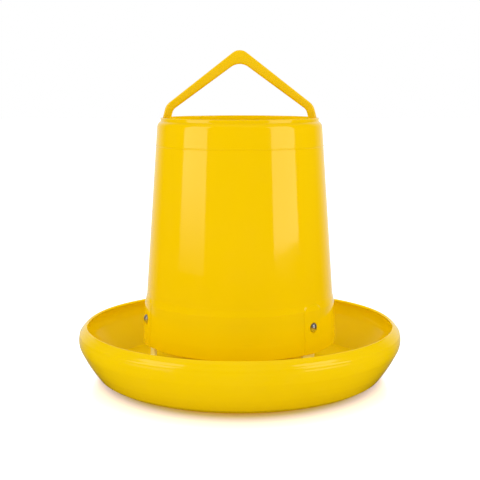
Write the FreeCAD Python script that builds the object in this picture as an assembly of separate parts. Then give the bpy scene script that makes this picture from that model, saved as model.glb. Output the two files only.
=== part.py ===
import FreeCAD, Part
import math
import os

from FreeCAD import Placement, Rotation, Vector

# Poultry feeder, to hang or to stand: an open tapered hopper on three legs in a round feed pan, with a handle.
# Millimetres. The origin is on the axis, on the ground under the pan. +Z is up and the front is -Y.

# Feed pan, one moulding
pan_diameter = 355.6
pan_wall = 2.6
pan_widest_height = 43.0
pan_side_radius = 22.0
pan_upper_slope = 27.0
pan_lower_slope = 36.0
pan_slope_change_height = 19.0
pan_slope_blend = 150.0
pan_base_radius = 7.0
pan_lip_radius = 17.5
pan_lip_turn = 56.0
pan_floor_lift = 2.0
pan_foot_ring_width = 5.0
pan_foot_ring_inset = 5.0
pan_plateau_lift = 5.5
pan_plateau_margin = 5.0
pan_plateau_slope_run = 5.0
pan_bead_angle = 23.0
pan_bead_width = 5.0
pan_bead_proud = 0.4

# Feed cone in the middle of the pan, hollow underneath
cone_clearance = 6.9
cone_height = 46.0
cone_tip_radius = 12.0
cone_foot_radius = 5.0

# Hopper, one moulding, open at both ends
hopper_wall = 2.2
hopper_bottom_height = 39.9
hopper_height = 243.8
hopper_bottom_radius = 106.0
hopper_skirt_height = 45.1
hopper_skirt_inset = 1.7
hopper_step_height = 7.0
hopper_step_depth = 1.65
hopper_step_round = 4.0
hopper_shoulder_radius = 89.35
hopper_shoulder_drop = 6.2
hopper_shoulder_round = 6.5
hopper_neck_inset = 3.65
hopper_neck_height = 3.7
hopper_neck_fillet = 1.6
hopper_band_height = 17.4
hopper_band_proud = 0.25
hopper_band_blend = 4.0
hopper_ring_drop = 29.7
hopper_ring_width = 1.6
hopper_ring_proud = 0.35

# Pads of the hopper, each with a flat boss inside that takes a leg
pad_proud = 0.8
pad_width = 27.0
pad_height = 50.4
pad_corner_round = 7.0
boss_depth = 4.3
boss_clearance = 0.3
spot_face_depth = 0.9
spot_face_clearance = 0.9

# Legs: L-shaped strips, at these angles from the front, counted towards +X
leg_angles = {"right": 47.0, "left": -73.0, "rear": 167.0}
leg_width = 18.0
leg_thickness = 3.0
leg_top_clearance = 2.0
leg_foot_length = 23.0
leg_bend_radius = 4.0
leg_corner_round = 3.0
leg_hole_spacing = 11.0

# Screws and nuts, all of one size
screw_diameter = 5.0
screw_length = 14.0
screw_head_diameter = 9.5
screw_head_height = 3.7
screw_head_edge = 1.0
screw_hole_clearance = 0.5
screw_height = 27.6
recess_span = 4.6
recess_slot = 1.1
recess_depth = 2.0
cut_over = 1.0
nut_width = 8.0
nut_height = 4.0
nut_bore_clearance = 0.1
foot_screw_inset = 14.0

# Carrying handle, one moulding, snapped into two slots under the hopper's shoulder
handle_point_rise = 75.2
handle_peak_depth = 14.55
handle_elbow_rise = 13.4
handle_inner_elbow_rise = 8.5
handle_bar_depth = 8.0
handle_peak_round = 12.5
handle_inner_peak_round = 15.2
handle_elbow_round = 14.0
handle_inner_elbow_round = 9.0
handle_flare = 15.0
handle_flare_rise = 0.5
handle_flare_round = 10.0
handle_leg_width = 9.0
handle_leg_reach = 24.0
handle_edge_round = 2.2
handle_rim_gap = 0.3
handle_slot_gap = 0.3
tooth_drop = 13.5
tooth_height = 6.0
tooth_inset = 0.4

# Sizes that follow from the ones above
pan_radius = pan_diameter / 2
hopper_top = hopper_bottom_height + hopper_height
hopper_neck_radius = hopper_shoulder_radius - hopper_neck_inset
hopper_inner_neck = hopper_neck_radius - hopper_wall
skirt_top = hopper_bottom_height + hopper_skirt_height
skirt_top_radius = hopper_bottom_radius - hopper_skirt_inset
taper_start = skirt_top + hopper_step_height
taper_start_radius = skirt_top_radius - hopper_step_depth
widest_radius = hopper_bottom_radius + pad_proud
boss_face = skirt_top_radius - boss_depth
leg_face = boss_face - boss_clearance
screw_level = hopper_bottom_height + screw_height
plateau_top = pan_plateau_lift + pan_wall
foot_screw_radius = leg_face - foot_screw_inset
cone_radius = leg_face - leg_foot_length - cone_clearance


def rounded_path(points):
    """Edges of a path in the XZ plane. Each point is (x, z, corner radius); lines and tangent arcs join them."""
    vectors = [Vector(x, 0, z) for x, z, radius in points]
    edges = []
    start = vectors[0]
    for i in range(1, len(points) - 1):
        corner = vectors[i]
        radius = points[i][2]
        arrive = (corner - vectors[i - 1]).normalize()
        leave = (vectors[i + 1] - corner).normalize()
        half_turn = arrive.getAngle(leave) / 2
        if radius > 0 and half_turn > 1e-6:
            cut = radius * math.tan(half_turn)
            first = corner - arrive * cut
            last = corner + leave * cut
            inward = (leave - arrive).normalize()
            middle = corner + inward * (radius / math.cos(half_turn) - radius)
            add_line(edges, start, first)
            edges.append(Part.Arc(first, middle, last).toShape())
            start = last
        else:
            add_line(edges, start, corner)
            start = corner
    add_line(edges, start, vectors[-1])
    return edges


def add_line(edges, start, end):
    """Adds a straight edge, unless the two arcs around it already meet."""
    if start.distanceToPoint(end) > 1e-4:
        edges.append(Part.makeLine(start, end))


def closed_face(points):
    """Face bounded by a closed rounded path. The first point is a sharp corner or lies on a straight side."""
    edges = rounded_path(points + [points[0]])
    return Part.Face(Part.Wire(edges))


def revolved(face):
    return face.revolve(Vector(0, 0, 0), Vector(0, 0, 1), 360)


def wall_from_line(points, wall):
    """Solid of revolution with an even wall, laid to the inner side of a line, with a blunted edge at its end."""
    outer = Part.Wire(rounded_path(points))
    inner = outer.makeOffset2D(wall, 0, False, True, True)
    outer_ends = [outer.OrderedVertexes[0].Point, outer.OrderedVertexes[-1].Point]
    inner_ends = [inner.OrderedVertexes[0].Point, inner.OrderedVertexes[-1].Point]
    if outer_ends[0].distanceToPoint(inner_ends[0]) > outer_ends[0].distanceToPoint(inner_ends[1]):
        inner_ends.reverse()
    last, before = [Vector(x, 0, z) for x, z, radius in (points[-1], points[-2])]
    onward = (last - before).normalize()
    across = inner_ends[1] - outer_ends[1]
    crown = [outer_ends[1] + across * share + onward * (wall / 3) for share in (0.25, 0.75)]
    start_cap = Part.makeLine(outer_ends[0], inner_ends[0])
    end_cap = Part.makePolygon([outer_ends[1]] + crown + [inner_ends[1]]).Edges
    edges = outer.Edges + inner.Edges + [start_cap] + end_cap
    return revolved(Part.Face(Part.Wire(Part.__sortEdges__(edges))))


def round_edges(solid, radius, wanted):
    """Rounds the edges for which wanted(edge) is true."""
    edges = [edge for edge in solid.Edges if wanted(edge)]
    return solid.makeFillet(radius, edges)


def bead(x, z, slope, width, proud):
    """Low ridge all round, on a surface whose outline passes (x, z) at this slope from the vertical."""
    along = Vector(-math.sin(math.radians(slope)), 0, math.cos(math.radians(slope)))
    outward = Vector(math.cos(math.radians(slope)), 0, math.sin(math.radians(slope)))
    centre = Vector(x, 0, z)
    corners = [
        centre - along * (width / 2),
        centre - along * (width / 6) + outward * proud,
        centre + along * (width / 6) + outward * proud,
        centre + along * (width / 2),
        centre - outward * (3 * proud),
    ]
    return ring_of(corners)


def ring_of(corners):
    """Solid ring whose section is the polygon with these corners."""
    return revolved(Part.Face(Part.makePolygon(corners + corners[:1])))


def at_leg(shape, angle):
    """Turns a shape that was made on the +X side to an angle from the front."""
    turned = shape.copy()
    turned.rotate(Vector(0, 0, 0), Vector(0, 0, 1), angle - 90)
    return turned


def pan_outline():
    """Underside of the pan, from the tip of its cone to the edge of its lip."""
    upper = math.radians(pan_upper_slope)
    lower = math.radians(pan_lower_slope)
    turn = math.radians(pan_lip_turn)
    side_corner = pan_widest_height - pan_side_radius * math.tan(upper / 2)
    middle = pan_radius - (side_corner - pan_slope_change_height) * math.tan(upper)
    base = middle - (pan_slope_change_height - pan_floor_lift) * math.tan(lower)
    lip_corner = pan_widest_height + pan_lip_radius * math.tan(turn / 2)
    lip_run = pan_lip_radius * math.tan(turn / 2)
    plateau_edge = leg_face + pan_plateau_margin
    return [
        (0, pan_plateau_lift + cone_height, 0),
        (cone_tip_radius, pan_plateau_lift + cone_height, cone_tip_radius),
        (cone_radius, pan_plateau_lift, cone_foot_radius),
        (plateau_edge, pan_plateau_lift, 0),
        (plateau_edge + pan_plateau_slope_run, pan_floor_lift, 0),
        (base, pan_floor_lift, pan_base_radius),
        (middle, pan_slope_change_height, pan_slope_blend),
        (pan_radius, side_corner, pan_side_radius),
        (pan_radius, lip_corner, pan_lip_radius),
        (pan_radius - lip_run * math.sin(turn), lip_corner + lip_run * math.cos(turn), 0),
    ]


def foot_ring(outline):
    """Ring under the pan's floor that it stands on."""
    outer = outline[5][0] - pan_foot_ring_inset
    inner = outer - pan_foot_ring_width
    top = pan_floor_lift + pan_wall / 2
    draft = pan_floor_lift / 4
    corners = [(inner - draft, top), (inner, 0), (outer, 0), (outer + draft, top)]
    return ring_of([Vector(x, 0, z) for x, z in corners])


def make_feed_pan():
    outline = pan_outline()
    bead_angle = math.radians(pan_bead_angle)
    bead_x = pan_radius - pan_lip_radius * (1 - math.cos(bead_angle))
    bead_z = pan_widest_height + pan_lip_radius * math.sin(bead_angle)
    pan = wall_from_line(outline, pan_wall)
    pan = pan.fuse([foot_ring(outline), bead(bead_x, bead_z, pan_bead_angle, pan_bead_width, pan_bead_proud)])
    pan = pan.cut([at_leg(foot_screw_hole(), angle) for angle in leg_angles.values()])
    return pan.removeSplitter()


def foot_screw_hole():
    radius = (screw_diameter + screw_hole_clearance) / 2
    return Part.makeCylinder(radius, plateau_top + cut_over, Vector(foot_screw_radius, 0, 0))


def hopper_outline():
    """Outside of the hopper, from its bottom edge to the start of its blunted rim."""
    neck_bottom = hopper_top - hopper_neck_height
    return [
        (hopper_bottom_radius, hopper_bottom_height, 0),
        (skirt_top_radius, skirt_top, hopper_step_round),
        (taper_start_radius, taper_start, hopper_step_round),
        (hopper_shoulder_radius, hopper_top - hopper_shoulder_drop, hopper_shoulder_round),
        (hopper_neck_radius, neck_bottom, hopper_neck_fillet),
        (hopper_neck_radius, hopper_top - hopper_wall / 3, 0),
    ]


def skirt_radius_at(height):
    """Outer radius of the hopper's skirt at a height above the ground."""
    return hopper_bottom_radius - hopper_skirt_inset * (height - hopper_bottom_height) / hopper_skirt_height


def taper_radius_at(height):
    """Outer radius of the hopper's taper above the skirt at a height above the ground."""
    run = hopper_top - hopper_shoulder_drop - taper_start
    return taper_start_radius + (hopper_shoulder_radius - taper_start_radius) * (height - taper_start) / run


def taper_draft():
    run = hopper_top - hopper_shoulder_drop - taper_start
    return math.degrees(math.atan2(taper_start_radius - hopper_shoulder_radius, run))


def bottom_band():
    """Thicker band round the hopper's lower end, with a sloping upper edge."""
    top = hopper_bottom_height + hopper_band_height
    blend = top - hopper_band_blend
    root = skirt_radius_at(top) - hopper_wall / 2
    corners = [
        (root, hopper_bottom_height),
        (hopper_bottom_radius + hopper_band_proud, hopper_bottom_height),
        (skirt_radius_at(blend) + hopper_band_proud, blend),
        (skirt_radius_at(top), top),
        (root, top),
    ]
    return ring_of([Vector(x, 0, z) for x, z in corners])


def parting_ring():
    height = hopper_top - hopper_ring_drop
    return bead(taper_radius_at(height), height, taper_draft(), hopper_ring_width, hopper_ring_proud)


def pad_outside():
    """Solid with the outside of the hopper's skirt and step, made larger by the pads' thickness."""
    corners = [
        (0, hopper_bottom_height),
        (hopper_bottom_radius + pad_proud, hopper_bottom_height),
        (skirt_top_radius + pad_proud, skirt_top),
        (taper_start_radius + pad_proud, taper_start),
        (0, taper_start),
    ]
    return ring_of([Vector(x, 0, z) for x, z in corners])


def pad():
    """Pad on the +X side: its face follows the hopper's outside, and its back is a flat boss."""
    half = pad_width / 2
    top = hopper_bottom_height + pad_height
    corners = [
        (0, hopper_bottom_height, 0),
        (half, hopper_bottom_height, 0),
        (half, top, pad_corner_round),
        (-half, top, pad_corner_round),
        (-half, hopper_bottom_height, 0),
    ]
    face = closed_face(corners)
    face.rotate(Vector(0, 0, 0), Vector(0, 0, 1), 90)
    face.translate(Vector(boss_face, 0, 0))
    return face.extrude(Vector(widest_radius, 0, 0)).common(pad_outside())


def screw_seat():
    """Distance from the axis of the flat that a pad's screw head sits on."""
    return skirt_radius_at(screw_level) + pad_proud - spot_face_depth


def pad_hole():
    """Screw hole of a pad, with the flat that the screw head sits on."""
    axis = Vector(1, 0, 0)
    hole_radius = (screw_diameter + screw_hole_clearance) / 2
    face_radius = screw_head_diameter / 2 + spot_face_clearance
    hole = Part.makeCylinder(hole_radius, widest_radius * 0.2, Vector(widest_radius * 0.85, 0, screw_level), axis)
    flat = Part.makeCylinder(face_radius, screw_head_height, Vector(screw_seat(), 0, screw_level), axis)
    return hole.fuse(flat)


def handle_slot(side):
    """Slot through the hopper's wall for one tooth of the handle."""
    top = hopper_top - tooth_drop + handle_slot_gap
    height = tooth_height + 2 * handle_slot_gap
    depth = handle_bar_depth + 2 * handle_slot_gap
    start = min(0, side) * hopper_bottom_radius
    return Part.makeBox(hopper_bottom_radius, depth, height, Vector(start, -depth / 2, top - height))


def make_hopper():
    hopper = wall_from_line(hopper_outline(), hopper_wall)
    pads = [at_leg(pad(), angle) for angle in leg_angles.values()]
    hopper = hopper.fuse([bottom_band(), parting_ring()] + pads)
    below_edge = Part.makeCylinder(widest_radius * 1.1, hopper_bottom_height)
    cuts = [below_edge, handle_slot(-1), handle_slot(1)]
    for angle in leg_angles.values():
        cuts.append(at_leg(pad_hole(), angle))
    return hopper.cut(cuts).removeSplitter()


def leg_outline():
    """Side view of a leg: an upright strip and a foot that points inward."""
    outer = leg_face
    inner = leg_face - leg_thickness
    toe = leg_face - leg_foot_length
    top = hopper_bottom_height + pad_height - leg_top_clearance
    base = plateau_top
    return [
        (toe, base, 0),
        (outer, base, leg_bend_radius),
        (outer, top, 0),
        (inner, top, 0),
        (inner, base + leg_thickness, leg_bend_radius - leg_thickness / 2),
        (toe, base + leg_thickness, 0),
    ]


def make_leg(angle):
    strip = closed_face(leg_outline())
    leg = strip.extrude(Vector(0, leg_width, 0))
    leg.translate(Vector(0, -leg_width / 2, 0))
    leg = round_edges(leg, leg_corner_round, is_leg_corner)
    hole_radius = (screw_diameter + screw_hole_clearance) / 2
    for step in (-1, 0, 1):
        level = screw_level + step * leg_hole_spacing
        start = Vector(leg_face - 2 * leg_thickness, 0, level)
        leg = leg.cut(Part.makeCylinder(hole_radius, 3 * leg_thickness, start, Vector(1, 0, 0)))
    foot_hole = Part.makeCylinder(hole_radius, 3 * leg_thickness, Vector(foot_screw_radius, 0, plateau_top - leg_thickness))
    leg = leg.cut(foot_hole)
    return at_leg(leg, angle)


def is_leg_corner(edge):
    """True for the four short edges at the two ends of the strip, which are rounded."""
    box = edge.BoundBox
    short = abs(edge.Length - leg_thickness) < 1e-3
    side = abs(abs(box.YMin) - leg_width / 2) < 1e-3 and box.YLength < 1e-3
    return short and side


def make_screw():
    """Domed head with a cross recess. The seat is at the origin, the head points to +X."""
    radius = screw_head_diameter / 2
    end = -screw_length
    half = screw_diameter / 2
    crown = Vector(screw_head_height, 0, 0)
    edge = Vector(screw_head_edge, 0, radius)
    rise = screw_head_height - screw_head_edge
    dome = (radius * radius + rise * rise) / (2 * rise)
    half_angle = math.asin(radius / dome) / 2
    middle = Vector(screw_head_height - dome * (1 - math.cos(half_angle)), 0, dome * math.sin(half_angle))
    corners = [
        edge,
        Vector(0, 0, radius),
        Vector(0, 0, half),
        Vector(end, 0, half),
        Vector(end, 0, 0),
        crown,
    ]
    edges = [Part.makeLine(corners[i], corners[i + 1]) for i in range(len(corners) - 1)]
    edges.append(Part.Arc(crown, middle, edge).toShape())
    screw = Part.Face(Part.Wire(edges)).revolve(Vector(0, 0, 0), Vector(1, 0, 0), 360)
    for turn in (0, 90):
        screw = screw.cut(recess_bar(turn))
    return screw


def recess_bar(turn):
    """One bar of the cross recess, narrower at its bottom."""
    top = screw_head_height + cut_over
    bottom = screw_head_height - recess_depth
    half = recess_span / 2
    taper = half - recess_depth / 2
    corners = [(top, -half), (top, half), (bottom, taper), (bottom, -taper)]
    wire = Part.makePolygon([Vector(x, 0, z) for x, z in corners + corners[:1]])
    bar = Part.Face(wire).extrude(Vector(0, recess_slot, 0))
    bar.translate(Vector(0, -recess_slot / 2, 0))
    bar.rotate(Vector(0, 0, 0), Vector(1, 0, 0), turn)
    return bar


def make_nut():
    """Hexagon nut. Its seat is at the origin, and its body lies to -X."""
    corner_radius = nut_width / math.sqrt(3)
    angles = [math.radians(60 * i) for i in range(7)]
    hexagon = [Vector(0, corner_radius * math.cos(a), corner_radius * math.sin(a)) for a in angles]
    body = Part.Face(Part.makePolygon(hexagon)).extrude(Vector(-nut_height, 0, 0))
    bore_radius = (screw_diameter + nut_bore_clearance) / 2
    bore = Part.makeCylinder(bore_radius, nut_height * 2, Vector(-nut_height * 1.5, 0, 0), Vector(1, 0, 0))
    return body.cut(bore)


def in_pad(shape, angle, seat):
    """Puts a screw or nut in a pad's hole, with its seat at this distance from the axis."""
    placed = shape.copy()
    placed.translate(Vector(seat, 0, screw_level))
    return at_leg(placed, angle)


def in_floor(shape, angle, seat):
    """Puts a screw or nut in a hole of the pan's floor, head down, with its seat at this height."""
    placed = shape.copy()
    placed.Placement = Placement(Vector(foot_screw_radius, 0, seat), Rotation(Vector(0, 1, 0), 90))
    return at_leg(placed, angle)


def handle_outline():
    """Front view of the handle: up the right leg, over the peak, down the left one, and back along the inside."""
    flare = math.tan(math.radians(handle_flare))
    outer_x = math.sqrt(hopper_inner_neck ** 2 - (handle_bar_depth / 2) ** 2) - handle_rim_gap
    inner_x = outer_x - handle_leg_width
    foot_z = hopper_top - handle_leg_reach
    bend_z = hopper_top + handle_flare_rise
    elbow_x = outer_x - (handle_elbow_rise - handle_flare_rise) * flare
    inner_elbow_x = inner_x - (handle_inner_elbow_rise - handle_flare_rise) * flare
    right = [
        (outer_x, foot_z, handle_edge_round),
        (outer_x, bend_z, handle_flare_round),
        (elbow_x, hopper_top + handle_elbow_rise, handle_elbow_round),
        (0, hopper_top + handle_point_rise, handle_peak_round),
    ]
    inner = [
        (0, hopper_top + handle_point_rise - handle_peak_depth, handle_inner_peak_round),
        (inner_elbow_x, hopper_top + handle_inner_elbow_rise, handle_inner_elbow_round),
        (inner_x, bend_z, handle_flare_round),
        (inner_x, foot_z, handle_edge_round),
    ]
    left = [(-x, z, radius) for x, z, radius in right[-2::-1]]
    inner_left = [(-x, z, radius) for x, z, radius in inner[:0:-1]]
    middle_of_foot = ((outer_x + inner_x) / 2, foot_z, 0)
    return [middle_of_foot] + right + left + inner_left + inner


def handle_tooth(side):
    """Tooth of the handle that reaches into the hopper's slot, with a ramp below."""
    top = hopper_top - tooth_drop
    bottom = top - tooth_height
    tip = taper_radius_at(top) - tooth_inset
    root = hopper_inner_neck - handle_leg_width / 2
    ramp = tip - tooth_height / 3
    corners = [(root, top), (tip, top), (tip, top - tooth_height / 2), (ramp, bottom), (root, bottom)]
    wire = Part.makePolygon([Vector(side * x, 0, z) for x, z in corners + corners[:1]])
    tooth = Part.Face(wire).extrude(Vector(0, handle_bar_depth, 0))
    tooth.translate(Vector(0, -handle_bar_depth / 2, 0))
    return tooth


def make_handle():
    bar = closed_face(handle_outline()).extrude(Vector(0, handle_bar_depth, 0))
    bar.translate(Vector(0, -handle_bar_depth / 2, 0))
    bar = round_edges(bar, handle_edge_round, lambda edge: edge.BoundBox.YLength < 1e-3)
    return bar.fuse([handle_tooth(-1), handle_tooth(1)]).removeSplitter()


def make_nodes():
    nodes = {"feed_pan": make_feed_pan(), "hopper": make_hopper(), "carrying_handle": make_handle()}
    screw = make_screw()
    nut = make_nut()
    for name, angle in leg_angles.items():
        nodes["leg_" + name] = make_leg(angle)
        nodes["hopper_screw_" + name] = in_pad(screw, angle, screw_seat())
        nodes["hopper_nut_" + name] = in_pad(nut, angle, leg_face - leg_thickness)
        nodes["foot_screw_" + name] = in_floor(screw, angle, pan_plateau_lift)
        nodes["foot_nut_" + name] = in_floor(nut, angle, plateau_top + leg_thickness)
    return nodes


def main():
    os.makedirs("parts", exist_ok=True)
    for name, shape in make_nodes().items():
        solid = shape.Solids[0] if len(shape.Solids) == 1 else shape
        solid.exportStep("parts/" + name + ".step")
        box = solid.BoundBox
        print(name, "solids", len(shape.Solids), "valid", solid.isValid(), "volume", round(solid.Volume),
              "z", round(box.ZMin, 1), round(box.ZMax, 1))


main()
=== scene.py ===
# %% [markdown]
# # A hanging poultry feeder in yellow plastic
# The feeder is a tapered hopper that stands on three small legs in a round pan. Feed runs down over a cone
# in the pan's middle and out under the hopper's edge. A pointed handle snaps in under the hopper's shoulder.
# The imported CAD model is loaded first. It fixes where every piece is, and it is never moved: each piece below
# is worked out in the same frame, with the axis of the feeder on Z, the ground at zero and the front on -Y.

# %% Load the frame
import math

import bmesh
import bpy
import numpy as np
from mathutils import Matrix, Vector


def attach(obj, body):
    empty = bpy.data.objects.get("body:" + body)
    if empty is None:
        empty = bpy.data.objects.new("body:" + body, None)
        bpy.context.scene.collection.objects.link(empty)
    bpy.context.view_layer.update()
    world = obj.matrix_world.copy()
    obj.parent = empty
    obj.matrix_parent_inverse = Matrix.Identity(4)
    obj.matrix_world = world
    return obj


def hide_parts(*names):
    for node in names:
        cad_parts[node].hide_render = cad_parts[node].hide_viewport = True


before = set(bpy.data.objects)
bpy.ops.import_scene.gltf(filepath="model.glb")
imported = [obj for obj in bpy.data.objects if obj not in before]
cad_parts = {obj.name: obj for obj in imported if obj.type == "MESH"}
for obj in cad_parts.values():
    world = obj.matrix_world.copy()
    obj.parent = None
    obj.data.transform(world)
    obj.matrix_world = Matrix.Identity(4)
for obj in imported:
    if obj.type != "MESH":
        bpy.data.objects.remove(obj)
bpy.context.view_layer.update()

# %% [markdown]
# ## Lines with rounded corners
# A moulded part is drawn as a section: straight runs that meet in arcs. One way is to model each arc by hand,
# but it is easier to list the corners and their radii, as on a drawing, and to let numpy place the arcs.
# All sizes below are in millimetres, and they become metres when a mesh is made.

# %% Lines with rounded corners
MM = 0.001
shortest_arc = 1e-3
same_point = 1e-4


def unit(vector):
    """The same direction at length 1."""
    return vector / np.linalg.norm(vector)


def rounded_line(corners, turn=7.0, count=None):
    """Points of a line through corners (x, z, radius), every few degrees of turn or a fixed count per arc.

    An arc of radius r that turns by an angle t leaves the first run r * tan(t / 2) before the corner.
    Its points are centre + (first - centre) turned by evenly spaced angles from 0 to t.
    """
    points = [np.array([corners[0][:2]], float)]
    for before, corner, after in zip(corners, corners[1:], corners[2:]):
        start, middle, end = (np.array(c[:2], float) for c in (before, corner, after))
        arrive, leave = unit(middle - start), unit(end - middle)
        angle = math.atan2(arrive[0] * leave[1] - arrive[1] * leave[0], float(arrive @ leave))
        if corner[2] * abs(angle) < shortest_arc:
            points.append(middle[None])
            continue
        first = middle - arrive * corner[2] * math.tan(abs(angle) / 2)
        centre = first + np.array([-arrive[1], arrive[0]]) * corner[2] * np.sign(angle)
        angles = np.linspace(0, angle, count or max(3, math.ceil(math.degrees(abs(angle)) / turn) + 1))
        out = first - centre
        points.append(centre + np.stack([out[0] * np.cos(angles) - out[1] * np.sin(angles),
                                         out[0] * np.sin(angles) + out[1] * np.cos(angles)], axis=1))
    points.append(np.array([corners[-1][:2]], float))
    line = np.concatenate(points)
    apart = np.linalg.norm(np.diff(line, axis=0), axis=1) > same_point
    return line[np.concatenate([[True], apart])]


def finer(line, longest, like=None):
    """The same line with its long runs divided evenly. If like is given, its lengths decide how often."""
    lengths = np.linalg.norm(np.diff(line if like is None else like, axis=0), axis=1)
    counts = np.maximum(1, np.ceil(lengths / longest).astype(int))
    run = np.repeat(np.arange(len(counts)), counts)
    step = np.arange(len(run)) - np.repeat(np.cumsum(counts) - counts, counts)
    share = (step / counts[run])[:, None]
    return np.concatenate([line[run] * (1 - share) + line[run + 1] * share, line[-1:]])


def offset(line, distance):
    """Parallel line to the left. Each point moves along its mitre by distance / cos(half the turn there)."""
    run = np.diff(line, axis=0)
    run /= np.linalg.norm(run, axis=1)[:, None]
    before = np.concatenate([run[:1], run])
    after = np.concatenate([run, run[-1:]])
    mitre = before + after
    mitre /= np.linalg.norm(mitre, axis=1)[:, None]
    stretch = distance / np.sum(mitre * after, axis=1)
    return line + np.stack([-mitre[:, 1], mitre[:, 0]], axis=1) * stretch[:, None]


test_line = rounded_line([(0, 0, 0), (10, 0, 3), (10, 10, 0)])
print("a corner of radius 3 took", len(test_line), "points")

# %% [markdown]
# ## Surfaces as grids
# Every moulded piece here is a grid of points: rows along its section and columns round it. The whole grid is
# one numpy array, and foreach_set hands it to Blender at once, which is far quicker than adding points singly.
# The volume that the faces enclose is summed as well. If it comes out negative, the faces point inwards, and
# they are turned over.

# %% Surfaces as grids
weld_distance = 0.0002


def grid_faces(rows, columns, close_rows=False, close_columns=True):
    """Four-cornered faces of a grid whose point (i, j) has the number i * columns + j."""
    number = np.arange(rows * columns).reshape(rows, columns)
    if close_rows:
        number = np.concatenate([number, number[:1]])
    if close_columns:
        number = np.concatenate([number, number[:, :1]], axis=1)
    corners = [number[:-1, :-1], number[:-1, 1:], number[1:, 1:], number[1:, :-1]]
    return np.stack(corners, axis=-1).reshape(-1, 4)


def enclosed_volume(points, faces):
    """Sum over all faces of a . (b x c) / 6, for each of the two triangles of a face."""
    a, b, c, d = (points[faces[:, k]] for k in range(4))
    return float(np.sum(a * np.cross(b, c)) + np.sum(a * np.cross(c, d))) / 6


def placed(name, data):
    """New object at the origin with this mesh, lamp or lens."""
    item = bpy.data.objects.new(name, data)
    bpy.context.scene.collection.objects.link(item)
    return item


def new_piece(name, grid, sharp=32.0, close_rows=False):
    """Object from a grid of points in millimetres. Edges over the sharp angle stay crisp."""
    points = grid.reshape(-1, 3)
    faces = grid_faces(*grid.shape[:2], close_rows=close_rows)
    if enclosed_volume(points, faces) < 0:
        faces = faces[:, ::-1]
    mesh = bpy.data.meshes.new(name)
    mesh.vertices.add(len(points))
    mesh.vertices.foreach_set("co", (points * MM).astype(np.float32).ravel())
    mesh.loops.add(faces.size)
    mesh.loops.foreach_set("vertex_index", faces.astype(np.int32).ravel())
    mesh.polygons.add(len(faces))
    mesh.polygons.foreach_set("loop_start", np.arange(0, faces.size, 4, dtype=np.int32))
    mesh.update(calc_edges=True)
    merged = bmesh.new()
    merged.from_mesh(mesh)
    bmesh.ops.remove_doubles(merged, verts=merged.verts, dist=weld_distance * MM)
    merged.to_mesh(mesh)
    merged.free()
    piece = placed(name, mesh)
    smooth(piece, sharp)
    return piece


def smooth(piece, sharp):
    """Smooth shading, except across edges over this angle in degrees."""
    piece.data.shade_smooth()
    piece.data.set_sharp_from_angle(angle=math.radians(sharp))


def turned(line, angles):
    """Surface of revolution: point (i, j) is (r_i cos a_j, r_i sin a_j, z_i)."""
    radius, height = line[:, :1], line[:, 1:]
    return np.stack([radius * np.cos(angles), radius * np.sin(angles), height + 0 * angles], axis=-1)


def even_angles(count):
    """Angles of the columns of a full turn, in radians."""
    return np.linspace(0, 2 * math.pi, count, endpoint=False)


def report(piece):
    """Prints how many triangles a piece has and how large it is."""
    triangles = sum(len(polygon.vertices) - 2 for polygon in piece.data.polygons)
    size = [round(value / MM, 1) for value in piece.dimensions]
    print(piece.name, "has", triangles, "triangles and measures", size, "mm")


# %% [markdown]
# ## Cutting holes
# A slot or a screw hole could be left out of the grid, but its edge would then follow the grid's squares.
# Here a plain tool solid is subtracted with a Boolean modifier, and the result is kept as the new mesh.

# %% Cutting holes
def with_modifiers_applied(piece):
    """Keeps what the modifiers made of a piece as its mesh, and clears them."""
    bpy.context.view_layer.update()
    seen = piece.evaluated_get(bpy.context.evaluated_depsgraph_get())
    old = piece.data
    piece.data = bpy.data.meshes.new_from_object(seen)
    piece.data.name = piece.name
    piece.modifiers.clear()
    bpy.data.meshes.remove(old)


def combined(piece, tool, operation, sharp=32.0):
    """Adds or subtracts the tool, then removes it."""
    change = piece.modifiers.new(operation.lower(), "BOOLEAN")
    change.operation = operation
    change.solver = "EXACT"
    change.object = tool
    with_modifiers_applied(piece)
    smooth(piece, sharp)
    old = tool.data
    bpy.data.objects.remove(tool)
    bpy.data.meshes.remove(old)


def rod(start, end, radius, columns=40):
    """Round tool solid between two points, closed to a point at both ends."""
    start, end = np.array(start, float), np.array(end, float)
    axis = unit(end - start)
    upright = abs(axis[2]) > 0.9
    side = unit(np.cross(axis, [1.0, 0.0, 0.0] if upright else [0.0, 0.0, 1.0]))
    angles = even_angles(columns)
    ring = radius * (np.cos(angles)[:, None] * side + np.sin(angles)[:, None] * np.cross(axis, side))
    rows = np.stack([start + 0 * ring, start + ring, end + ring, end + 0 * ring])
    return new_piece("tool", rows)


def prism(outline, front, back):
    """Tool solid between two places on Y: two copies of the outline (x, z), each closed to a point."""
    outline = np.array(outline, float)
    middle = outline.mean(axis=0) + 0 * outline
    rows = [(middle, front), (outline, front), (outline, back), (middle, back)]
    points = [np.column_stack([line[:, 0], np.full(len(line), depth), line[:, 1]]) for line, depth in rows]
    return new_piece("tool", np.stack(points))


def turn_matrix(angle):
    """Turn about the feeder's axis that brings a thing made on the +X side to this angle from the front."""
    return Matrix.Rotation(math.radians(angle - 90), 4, "Z")


def drilled(piece, start, end, angle=90.0, radius=2.75, columns=40):
    """Cuts a round hole, from start to end on the +X side, at this angle from the front."""
    hole = rod(start, end, radius, columns)
    hole.data.transform(turn_matrix(angle))
    combined(piece, hole, "DIFFERENCE", sharp=40)


leg_angles = {"right": 47.0, "left": -73.0, "rear": 167.0}
print("the legs stand at", leg_angles, "degrees from the front")

# %% [markdown]
# ## Glossy moulded plastic
# Feeders like this one are moulded from polypropylene that is coloured all through. Up close the colour drifts
# a little where the melt flowed, the gloss is never quite even, and the skin has a very fine orange-peel wave.
# All three are noise on Object coordinates, so they stay put on the piece, seen from any side. An image
# texture could hold them too, but it would need unwrapping and would blur up close.

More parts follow.
